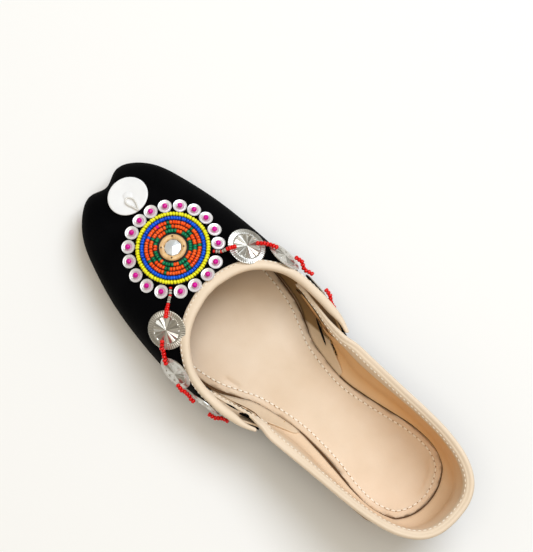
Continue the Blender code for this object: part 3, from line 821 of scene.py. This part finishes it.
# %% Stitch and needle hole
def stitch_shape(length, width, height):
    mesh = bmesh.new()
    bmesh.ops.create_uvsphere(mesh, u_segments=6, v_segments=5, radius=0.5)
    bmesh.ops.rotate(mesh, verts=mesh.verts, matrix=Matrix.Rotation(math.pi / 2, 3, "Y"))
    bmesh.ops.scale(mesh, verts=mesh.verts, vec=(length, width, height))
    return mesh


def even_steps(points, pitch):
    """Points at an even pitch along a line, each with the direction of the line there."""
    points = np.array(points)
    runs = np.linalg.norm(np.diff(points, axis=0), axis=1)
    length = np.concatenate([[0], np.cumsum(runs)])
    count = max(2, int(length[-1] / pitch))
    stops = (np.arange(count) + 0.5) * length[-1] / count
    spots = np.stack([np.interp(stops, length, points[:, k]) for k in range(3)], axis=1)
    ends = np.stack([np.interp(stops + 1e-4, length, points[:, k]) for k in range(3)], axis=1)
    return list(zip(spots, ends - spots))


STITCH_PITCH, ROLL_PITCH = 0.0030, 0.0026
stitch_loop = foot_line(0.0021 + STITCH_INSET)
stitch_loop = stitch_loop[stitch_loop[:, 1] < 0.930 * LENGTH]
stitch_line = []
for x, y, _ in (into_world((x, y, 0)) for x, y in stitch_loop):
    stitch_line.append((x, y, insole_height(x, y, from_edge(x, y)) + 0.0003))
places, holes = [], []
for spot, ahead in even_steps(stitch_line, STITCH_PITCH):
    places.append(standing(spot, ahead, (0, 0, 1)))
    hole = Vector(spot) + Vector(ahead).normalized() * STITCH_PITCH / 2
    holes.append(standing(hole, ahead, (0, 0, 1)))
stitch, hole = stitch_shape(0.0024, 0.0010, 0.0008), stitch_shape(0.0006, 0.0006, 0.0004)
hole_leather = leather("needle_hole", (0.42, 0.25, 0.12), (0.32, 0.18, 0.08), 0.2)
many("insole_stitches", stitch, places, 3, thread)
many("insole_needle_holes", hole, holes, 4, hole_leather)

# %% [markdown]
# ## The rolled edges
# Strips of leather are folded over the raw edges. On the vamp the strip is a soft flat roll.
# On the quarter its inner leg reaches 6 mm down the lining and is stitched there. Each roll
# is a section, drawn as pairs of numbers in millimetres, carried along the rim.

# %% Rolls along the rims
VAMP_SECTION = (
    (0.9, -3.2), (1.9, -2.6), (2.3, -1.3), (2.45, 0.5), (2.2, 2.0), (1.2, 3.1), (-0.4, 3.2),
    (-1.8, 2.2), (-2.4, 0.4), (-2.3, -1.4), (-1.8, -2.9), (-1.2, -3.6), (0.0, -2.3),
)
QUARTER_SECTION = (
    (1.2, -3.1), (1.9, -2.5), (2.4, -1.2), (2.6, 0.2), (2.2, 1.6), (1.2, 2.3), (0.2, 1.9),
    (-0.4, 1.15), (-0.7, 0.90), (-1.1, 0.85), (-1.8, 0.0), (-2.2, -1.8), (-2.2, -4.0),
    (-1.9, -5.4), (-1.5, -5.9), (-1.05, -5.6), (-1.0, -3.2), (0.0, -2.3),
)


def rim_frame(position, middle):
    """Middle of the roll over the rim, the outward direction and the way out of the rim."""
    point, outward = wall(position, 1.0)
    rise = point - rib_point(position, 0.97)
    rise -= outward * rise.dot(outward)
    rise /= np.linalg.norm(rise)
    return point + outward * middle + rise * 0.0026, outward, rise


def roll(frames, section, sizes):
    """Carries the section along the frames."""
    def place(i, j):
        middle, outward, rise = frames[i]
        s, u = section[j]
        return middle + (outward * s + rise * u) * MILLIMETRE * sizes[i]

    return sheet(len(frames) - 1, len(section), place, closed=True, caps=True)


MILLIMETRE = 0.001
vamp_places = np.linspace(9.2, 30.8, 150)
vamp_sizes = [0.42 + 0.58 * ease(min(p, ROUND - p) - 9.2, 0.0, 1.8) for p in vamp_places]
vamp_frames = [
    rim_frame(p, 0.0003 + 0.0022 * (1 - size)) for p, size in zip(vamp_places, vamp_sizes)
]
vamp_mesh = roll(vamp_frames, VAMP_SECTION, vamp_sizes)
vamp_roll = add_piece("vamp_roll", vamp_mesh, edge_leather)
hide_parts("vamp_binding")

quarter_frames = [rim_frame(p, -0.0010) for p in np.linspace(-8.5, 8.5, 120)]
quarter_sizes = [1.0] * len(quarter_frames)
for side in (1, -1):
    run = []
    for step in np.linspace(0.0, 6.0, 22):
        spot = tongue(step, side)
        ahead = tongue(step + 0.1, side) - spot
        outward = np.cross(ahead, (0, 0, 1)) * side
        outward /= np.linalg.norm(outward) + 1e-12
        outward = outward if step < 5.95 else run[-1][1]
        run.append((into_world(spot), outward, np.array([0, 0, 1.0])))
    last, less = (3.5, 0.5) if side == 1 else (1.8, 0.62)
    tapered = [1 - less * ease(step, 0.0, last) for step in np.linspace(0.0, 6.0, 22)]
    quarter_frames = quarter_frames + run if side == 1 else run[::-1] + quarter_frames
    quarter_sizes = quarter_sizes + tapered if side == 1 else tapered[::-1] + quarter_sizes
quarter_mesh = roll(quarter_frames, QUARTER_SECTION, quarter_sizes)
quarter_roll = add_piece("quarter_roll", quarter_mesh, edge_leather)
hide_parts("quarter_binding")
for piece in (vamp_roll, quarter_roll):
    smooth = piece.modifiers.new("smooth", "SUBSURF")
    smooth.levels = smooth.render_levels = 1

# %% [markdown]
# The edge stitches lie near the velvet on the vamp, and on the inner leg of the quarter.

# %% Stitches of the rolls
def edge_stitches(name, frames, sizes, s, u, towards, seed):
    """Stitches and their holes along a roll, at the point (s, u) of its section."""
    line = [m + (o * s + r * u) * MILLIMETRE * k for (m, o, r), k in zip(frames, sizes)]
    spots = []
    for spot, ahead in even_steps(line, ROLL_PITCH):
        nearest = min(range(len(frames)), key=lambda k: np.linalg.norm(line[k] - spot))
        spots.append(standing(spot, ahead, frames[nearest][1] * towards))
    stitch, hole = stitch_shape(0.0016, 0.0006, 0.0005), stitch_shape(0.0006, 0.0006, 0.0005)
    many(name, stitch, spots, seed, thread)
    holes = [spot @ Matrix.Translation((ROLL_PITCH / 2, 0, -0.0001)) for spot in spots]
    many(name + "_holes", hole, holes, seed, puckered_leather)


puckered_leather = leather("puckered_leather", (0.68, 0.52, 0.36), (0.60, 0.44, 0.29), 0.3)
edge_stitches("vamp_roll_stitches", vamp_frames, vamp_sizes, 2.28, -1.45, 1, 5)
edge_stitches("quarter_roll_stitches", quarter_frames, quarter_sizes, -1.95, -0.55, -1, 6)

# %% [markdown]
# ## Wear inside
# The raw front edge of the lining has frayed. On the left it has come unstitched below the
# roll, which leaves two dark slits, and on the right a gap stands open behind the flap. Frays
# and openings are thin stretched balls; the long dark ball in the right gap is painted shade.

# %% Frays and slits
def on_lining(position, share, lift):
    """A place on the lining of the quarter that faces into the shoe."""
    offset = lining_offset(position, share) - lift
    here = quarter_place(position, share, offset)
    ahead = quarter_place(position + 0.1, share, offset) - here
    return standing(here, ahead, -wall(position, share, 0.0, quarter_rim(position))[1])


def join(whole, shape, place):
    """Moves a shape to its place and adds it to a mesh."""
    bmesh.ops.transform(shape, matrix=place, verts=shape.verts)
    pattern = bpy.data.meshes.new("pattern")
    shape.to_mesh(pattern)
    shape.free()
    whole.from_mesh(pattern)
    bpy.data.meshes.remove(pattern)


fray_dice = random.Random(31)
frays = []
for side in (1, -1):
    for k in range(40):
        share = 0.02 + 0.45 * k / 39
        lift = 0.0002 + 0.0004 * fray_dice.random()
        place = on_lining(side * (front_edge(share) + 0.02), share, lift)
        frays.append(place @ Matrix.Rotation(fray_dice.uniform(0.6, 2.5), 4, "Z"))
fray, tree, shader = new_finish("frayed_thread", Roughness=0.8)
fray_colour = blend(tree, tone_of(tree), (0.03, 0.018, 0.010, 1), (0.70, 0.42, 0.14, 1))
feed(tree, shader.inputs["Base Color"], fray_colour)
many("frayed_edge", stitch_shape(0.0020, 0.00036, 0.00036), frays, 13, fray)
slits = bmesh.new()
for step, length in ((2.75, 0.0080), (1.55, 0.0036)):
    rim, ahead = tongue(step, -1), tongue(step + 0.1, -1)
    place = standing(into_world(rim + np.array([-0.0009, 0, 0.0010])), ahead - rim, (0, 0, 1))
    join(slits, stitch_shape(length, 0.0009, 0.0008), place)
# Painted shade: a long dark velvet ball lies in the open gap behind the flap on the right.
gap, high, low = (on_lining(front_edge(k) + 0.06, k, 0.0014) for k in (0.36, 0.58, 0.14))
place = standing(gap.translation, high.translation - low.translation, gap.col[2].xyz)
join(slits, stitch_shape(0.0170, 0.0036, 0.0012), place)
add_piece("lining_slits_and_gap_shade", slits, velvet)

# %% [markdown]
# ## Sole and heel
# The outsole, the heel lift and the felt under the rosette keep the shape of their solids.
# Only their finish is new.

# %% Sole, heel and felt finishes
felt = leather("black_felt", (0.012, 0.012, 0.013), (0.022, 0.022, 0.024), 0.8)
new_looks = {"outsole": sole_leather, "heel_lift": heel_leather, "rosette_backing": felt}
for node, finish in new_looks.items():
    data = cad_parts[node].data
    data.materials.clear()
    data.materials.append(finish)
print("solids with a new finish:", len(new_looks))

# %% [markdown]
# ## Seed beads
# A seed bead is a short rounded tube. Its half section is spun round the z axis, the hole
# stays open, and one bead has only 54 faces because hundreds of copies are needed. The same
# turning tool makes the wooden ring, the sequins and both kinds of disc further down.

# %% The turning tool and one seed bead
def turn_round(mesh, steps):
    """Spins everything in a mesh once round the z axis."""
    whole = {"geom": list(mesh.verts) + list(mesh.edges), "angle": 2 * math.pi}
    axis = {"cent": (0, 0, 0), "axis": (0, 0, 1)}
    bmesh.ops.spin(mesh, steps=steps, use_merge=True, **whole, **axis)


def turned(section, steps, merge, unit=1.0, closed=False, solid=True):
    """A line of radii and heights spun round the z axis. Solid turns its faces outwards."""
    mesh = bmesh.new()
    verts = [mesh.verts.new((r * unit, 0, h * unit)) for r, h in section]
    for pair in zip(verts, verts[1:] + verts[:1] * closed):
        mesh.edges.new(pair)
    turn_round(mesh, steps)
    bmesh.ops.remove_doubles(mesh, verts=mesh.verts, dist=merge)
    if solid:
        bmesh.ops.recalc_face_normals(mesh, faces=mesh.faces)
    return mesh


BEAD_SECTION = (
    (0.35, -0.38), (0.74, -0.50), (1.0, -0.20), (1.0, 0.20), (0.74, 0.50), (0.35, 0.38),
)


def bead_shape(radius, length):
    section = [(r * radius, h * length) for r, h in BEAD_SECTION]
    return turned(section, 9, 1e-6, closed=True)


# %% [markdown]
# ## The rosette
# Five rings of beads are couched on a round of felt. Each bead is strung along its ring, so
# its hole points along the circle. The height of each comes from the felt below it. Seven
# green spokes widen towards the middle: a bead is green if it is close enough to a spoke.

# %% Bead rings
low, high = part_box("rosette_backing")
ROSETTE = Vector(((low[0] + high[0]) / 2, (low[1] + high[1]) / 2, 0))
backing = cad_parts["rosette_backing"].data
felt_tree = BVHTree.FromPolygons(
    [v.co.copy() for v in backing.vertices], [list(f.vertices) for f in backing.polygons]
)
SPOKES = (52, -1, -44, -101, -150, 163, 110)
dice = random.Random(11)


def on_felt(radius, angle, lift):
    spot = ROSETTE + Vector((math.cos(angle), math.sin(angle), 0)) * radius
    point, up, _, _ = felt_tree.ray_cast(spot + Vector((0, 0, 0.2)), Vector((0, 0, -1)))
    return point + up * lift, up


def bead_ring(radius, count, lean):
    """Angle and place of each bead of a ring. Lean turns the beads like the lay of a rope."""
    found = []
    for k in range(count):
        angle = 2 * math.pi * (k + dice.uniform(-0.12, 0.12)) / count
        point, up = on_felt(radius + dice.uniform(-1, 1) * 0.00006, angle, 0.00095)
        along = Vector((-math.sin(angle), math.cos(angle), 0))
        along = Matrix.Rotation(math.radians(lean + dice.uniform(-5, 5)), 3, up) @ along
        found.append((angle, standing(point, up, along - up * along.dot(up))))
    return found


BEAD_RINGS = {
    "yellow": (0.01810, 76, 20),
    "blue": (0.01585, 70, 0),
    "outer": (0.01360, 59, 0),
    "middle": (0.01130, 49, 0),
    "inner": (0.00900, 39, 0),
}
rings = {name: bead_ring(*row) for name, row in BEAD_RINGS.items()}
GREEN_REACH = {"outer": 0.00080, "middle": 0.00140, "inner": 0.0026}


def off_by(angle, bearing):
    return abs((math.degrees(angle) - bearing + 180) % 360 - 180)


sorted_beads = {"orange": [], "green": [], "magenta": [], "blue": [p for _, p in rings["blue"]]}
for name, reach in GREEN_REACH.items():
    for angle, place in rings[name]:
        gap = min(off_by(angle, spoke) for spoke in SPOKES)
        colour = "green" if math.radians(gap) * BEAD_RINGS[name][0] < reach else "orange"
        if name == "outer" and off_by(angle, 79.6) < 3:
            colour = "magenta"
        if name == "outer" and off_by(angle, 110) < 3:
            colour = "blue"
        sorted_beads[colour].append(place)
BEAD_SIZE, YELLOW_BEAD_SIZE = (0.00101, 0.00142), (0.00112, 0.00145)
STRING_BEAD_SIZE = (0.00112, 0.00148)


def beads(name, places, seed, finish, size=BEAD_SIZE):
    return many(name, bead_shape(*size), places, seed, finish)


yellow_places = [p for _, p in rings["yellow"]]
yellow = beads("beads_yellow", yellow_places, 1, yellow_glass, YELLOW_BEAD_SIZE)
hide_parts("bead_ring_yellow")
blue = beads("beads_blue", sorted_beads["blue"], 2, blue_glass)
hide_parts("bead_ring_blue")
orange = beads("beads_orange", sorted_beads["orange"], 3, orange_glass)
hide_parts("bead_ring_outer", "bead_ring_middle", "bead_ring_inner")
beads("beads_green", sorted_beads["green"], 4, green_glass)
beads("bead_magenta_stray", sorted_beads["magenta"], 5, magenta_glass)

# %% [markdown]
# ## Wooden ring and mirror
# A turned wooden ring holds a cut glass mirror in the middle. The ring is a spun section with
# four needle holes. The mirror is a cone cut flat, with the facets left sharp.

# %% Ring and mirror
ring_base, ring_up = seat_of("wood_ring")
wood, tree, shader = new_finish("turned_wood", Coat_Weight=0.3, Coat_Roughness=0.2)
grain = noise(tree, 420, 5)
streak = stretch(tree, grain, 0.35, 0.7)
colour = blend(tree, streak, (0.86, 0.58, 0.28, 1), (0.60, 0.32, 0.11, 1))
feed(tree, shader.inputs["Base Color"], colour)
feed(tree, shader.inputs["Roughness"], stretch(tree, grain, 0.3, 0.7, 0.28, 0.5))
ring_mesh = bmesh.new()
bmesh.ops.create_circle(ring_mesh, segments=12, radius=0.00138)
bmesh.ops.scale(ring_mesh, verts=ring_mesh.verts, vec=(1.0, 0.85, 1.0))
bmesh.ops.rotate(ring_mesh, verts=ring_mesh.verts, matrix=Matrix.Rotation(math.pi / 2, 3, "X"))
bmesh.ops.translate(ring_mesh, verts=ring_mesh.verts, vec=(0.00575, 0, 0.0012))
turn_round(ring_mesh, 48)
bmesh.ops.recalc_face_normals(ring_mesh, faces=ring_mesh.faces)
seat = standing(ring_base, (0, 1, 0), ring_up)
bmesh.ops.transform(ring_mesh, matrix=seat, verts=ring_mesh.verts)
wood_ring = add_piece("wooden_ring", ring_mesh, wood)
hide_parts("wood_ring")
pin_places = []
for bearing in (45, -45, -135, 130):
    angle = math.radians(bearing)
    spot = (0.0058 * math.cos(angle), 0.0058 * math.sin(angle), 0.00248)
    pin_places.append(seat @ Matrix.Translation(spot))
pin = stitch_shape(0.0010, 0.0010, 0.0003)
many("ring_needle_holes", pin, pin_places, 8, edge_shade_and_pinholes)
gem_mesh = bmesh.new()
bmesh.ops.create_cone(
    gem_mesh, cap_ends=True, segments=9, radius1=0.0044, radius2=0.0044, depth=0.0012
)
bmesh.ops.translate(gem_mesh, verts=gem_mesh.verts, vec=(0, 0, 0.0008))
gem_top = max(gem_mesh.faces, key=lambda face: face.calc_center_median().z)
bmesh.ops.inset_region(gem_mesh, faces=[gem_top], thickness=0.0007, depth=0.0003)
bmesh.ops.poke(gem_mesh, faces=[gem_top], offset=0.0010)
bmesh.ops.transform(gem_mesh, matrix=seat, verts=gem_mesh.verts)
gem = add_piece("mirror_stone", gem_mesh, mirror_foil, smooth=False)
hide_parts("mirror_gem")

# %% [markdown]
# ## Sequins
# Eighteen dished sequins stand round the rosette, each held by a magenta bead. The dish is
# spun from half of its section, and every sequin takes its seat from its own solid.

# %% Sequins and their beads
SEQUIN_SECTION = (
    (0.0003, 0.20), (1.5, 0.20), (1.9, 0.32), (2.35, 0.70), (2.5, 0.72), (2.9, 0.60), (3.2, 0.66),
    (3.5, 0.90), (3.6, 0.86), (3.3, 0.46), (2.5, 0.50), (2.0, 0.16), (1.5, 0.05), (0.0003, 0.05),
)
sequin = turned(SEQUIN_SECTION, 28, 2e-6, MILLIMETRE)
sequin_names = [f"sequin_{k:02d}" for k in range(1, 19)]
sequin_places, knob_places = [], []
for name in sequin_names:
    base, up = seat_of(name)
    ahead = (math.cos(dice.random() * 6), math.sin(dice.random() * 6), 0)
    sequin_places.append(standing(base, ahead, up))
    knob_places.append(standing(base + up * 0.00135, (1, 0.3, 0), up))
sequins = many("sequins", sequin, sequin_places, 6, sequin_silver)
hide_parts(*sequin_names)
knob = bmesh.new()
bmesh.ops.create_uvsphere(knob, u_segments=12, v_segments=8, radius=0.00143)
bmesh.ops.scale(knob, verts=knob.verts, vec=(1.0, 1.0, 0.86))
many("sequin_beads", knob, knob_places, 7, magenta_glass)

# %% [markdown]
# ## Fan discs
# The larger discs are stamped like a fan: sharp pleats run out from the middle, and fine
# ribs cross the rim. A radius of a few points is spun in 96 steps. Every point is then
# raised or lowered by where it stands on the fan, and the faces are left flat.

# %% Fan discs
def fan_disc(radius, seed):
    """Twelve pleats of eight steps each, a thin raised circle and a finely ribbed rim."""
    stops = (0.002, 0.10, 0.40, 0.66, 0.70, 0.73, 0.76, 0.96, 1.0)
    mesh = turned([(stop, 0) for stop in stops], 96, 3e-5, radius, solid=False)
    fold_dice = random.Random(seed)
    heights = [fold_dice.uniform(0.5, 1.2) for _ in range(24)]
    for vert in mesh.verts:
        share = math.hypot(vert.co.x, vert.co.y) / radius
        step = round(math.atan2(vert.co.y, vert.co.x) / (2 * math.pi) * 96) % 96
        crest = 1 - abs(step % 8 - 4) / 4
        pleat = heights[step // 8 * 2 + (step % 8 > 4)] * PLEAT_HEIGHT
        fold = pleat * min(1, share / 0.66) * (share < 0.68)
        rim = 0.00016 * (share > 0.75) * (share < 0.98) * (step % 2)
        circle = 0.00008 * (0.69 < share < 0.74)
        vert.co.z = 0.0009 * (1 - share) + 0.0004 + fold * (crest - 0.5) + rim + circle
    return mesh


PLEAT_HEIGHT, PRESSED_SHEET = 0.00100, 0.00035
RADIUS_LIFT_LEAN = ((0.0102, 0.0008, -0.20), (0.0097, 0.0003, -0.10), (0.0085, 0.0, 0.0))
fan_names = [f"fan_disc_{side}_{k}" for side in ("right", "left") for k in (1, 2, 3)]
fans = bmesh.new()
for number, name in enumerate(fan_names):
    radius, lift, lean = RADIUS_LIFT_LEAN[number % 3]
    base, up = seat_of(name)
    up = (up + Vector((0, lean, 0))).normalized()
    fan_seat = standing(base + up * lift, (1, 0.4 * number, 0), up)
    join(fans, fan_disc(radius, 20 + number), fan_seat)
fan_discs = add_piece("fan_discs", fans, fan_silver, smooth=False)
fan_discs.modifiers.new("thickness", "SOLIDIFY").thickness = PRESSED_SHEET
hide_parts(*fan_names)

# %% [markdown]
# ## Bead strings
# Strings of red seed beads tie the discs together. Each solid string is a thin tube. Its
# points are sorted along its length in groups of six, and the middle of each group lies on
# the thread. The beads are threaded on that line, hole to hole.

# %% Bead strings
def thread_of(node):
    """Points down the middle of a solid string, in order."""
    spots, middle = spots_of(node)
    axis = np.linalg.svd(spots - middle)[2][0]
    spots = spots[np.argsort((spots - middle) @ axis)]
    return [spots[k : k + 6].mean(axis=0) for k in range(0, len(spots) - 5, 6)]


string_names = [f"bead_string_{side}_{k}" for side in ("right", "left") for k in (1, 2, 3, 4)]
red_places, clear_places = [], []
for name in string_names:
    line = thread_of(name)
    if (Vector(line[0]) - ROSETTE).length > (Vector(line[-1]) - ROSETTE).length:
        line = line[::-1]
    from_rosette = name.endswith("_1")
    steps = even_steps(line, 0.00125 if from_rosette else 0.00165)
    for k, (spot, ahead) in enumerate(steps):
        size = 0.75 + 0.35 * ease(k / len(steps), 0.35, 0.8) if from_rosette else 1.08
        side = Vector(ahead).cross(Vector((0, 0, 1)))
        place = standing(spot, side, Vector(ahead)) @ Matrix.Scale(size, 4)
        odd = from_rosette and 0 < k < 0.55 * len(steps) and k % 4 != 3
        (clear_places if odd else red_places).append(place)
red_beads = beads("beads_red", red_places, 9, red_glass, STRING_BEAD_SIZE)
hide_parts(*string_names)
beads("beads_clear", clear_places, 10, clear_glass, STRING_BEAD_SIZE)
print("string beads:", len(red_places) + len(clear_places))

# %% [markdown]
# ## Toe disc and its loop
# A matt white disc sits on the toe, with a low dome in its middle. A clear looped wire ties it
# to the rosette.

# %% Toe disc and loop
white, tree, shader = new_finish("white_disc", Specular_IOR_Level=0.4)
cloudy = stretch(tree, noise(tree, 120, 3), 0.35, 0.7)
colour = blend(tree, cloudy, (0.90, 0.90, 0.90, 1), (0.84, 0.84, 0.85, 1))
feed(tree, shader.inputs["Base Color"], colour)
feed(tree, shader.inputs["Roughness"], stretch(tree, cloudy, 0, 1, 0.40, 0.55))
disc_base, disc_up = seat_of("toe_disc")
DISC_SECTION = (
    (0.001, 1.15), (1.5, 1.08), (2.3, 0.92), (2.6, 0.72), (3.0, 0.80), (9.8, 0.76),
    (10.5, 0.80), (10.8, 0.60), (10.8, 0.25), (10.5, 0.05), (0.001, 0.05),
)
disc_mesh = turned(DISC_SECTION, 64, 5e-6, MILLIMETRE)
disc_seat = standing(disc_base, (1, 0, 0), disc_up)
bmesh.ops.transform(disc_mesh, matrix=disc_seat, verts=disc_mesh.verts)
toe_disc = add_piece("white_toe_disc", disc_mesh, white)
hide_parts("toe_disc")
LOOP_POINTS = (
    (-1.5, -1.0), (0.0, -2.2), (0.6, -4.6), (-0.3, -7.6),
    (-2.0, -10.5), (-2.7, -7.2), (-3.4, -4.4), (-3.2, -2.2),
)
loop_rows = np.array([(x, y, 1.45) for x, y in LOOP_POINTS]) * MILLIMETRE


def loop_place(i, j):
    step = i / 64 * 8
    spot = between_rows(loop_rows, step)
    ahead = between_rows(loop_rows, step + 0.05) - spot
    side = np.cross(ahead, (0, 0, 1))
    side /= np.linalg.norm(side)
    angle = 2 * math.pi * j / 8
    spot = spot + (side * math.cos(angle) + np.array([0, 0, math.sin(angle)])) * 0.00050
    return disc_seat @ Vector(spot)


loop_mesh = sheet(64, 8, loop_place, closed=True)
loop_glass, tree, shader = new_finish(
    "loop_glass", Base_Color=(0.80, 0.78, 0.74, 1), Roughness=0.15, Specular_IOR_Level=0.7
)
clear_loop = add_piece("clear_loop", loop_mesh, loop_glass)
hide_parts("toe_loop")
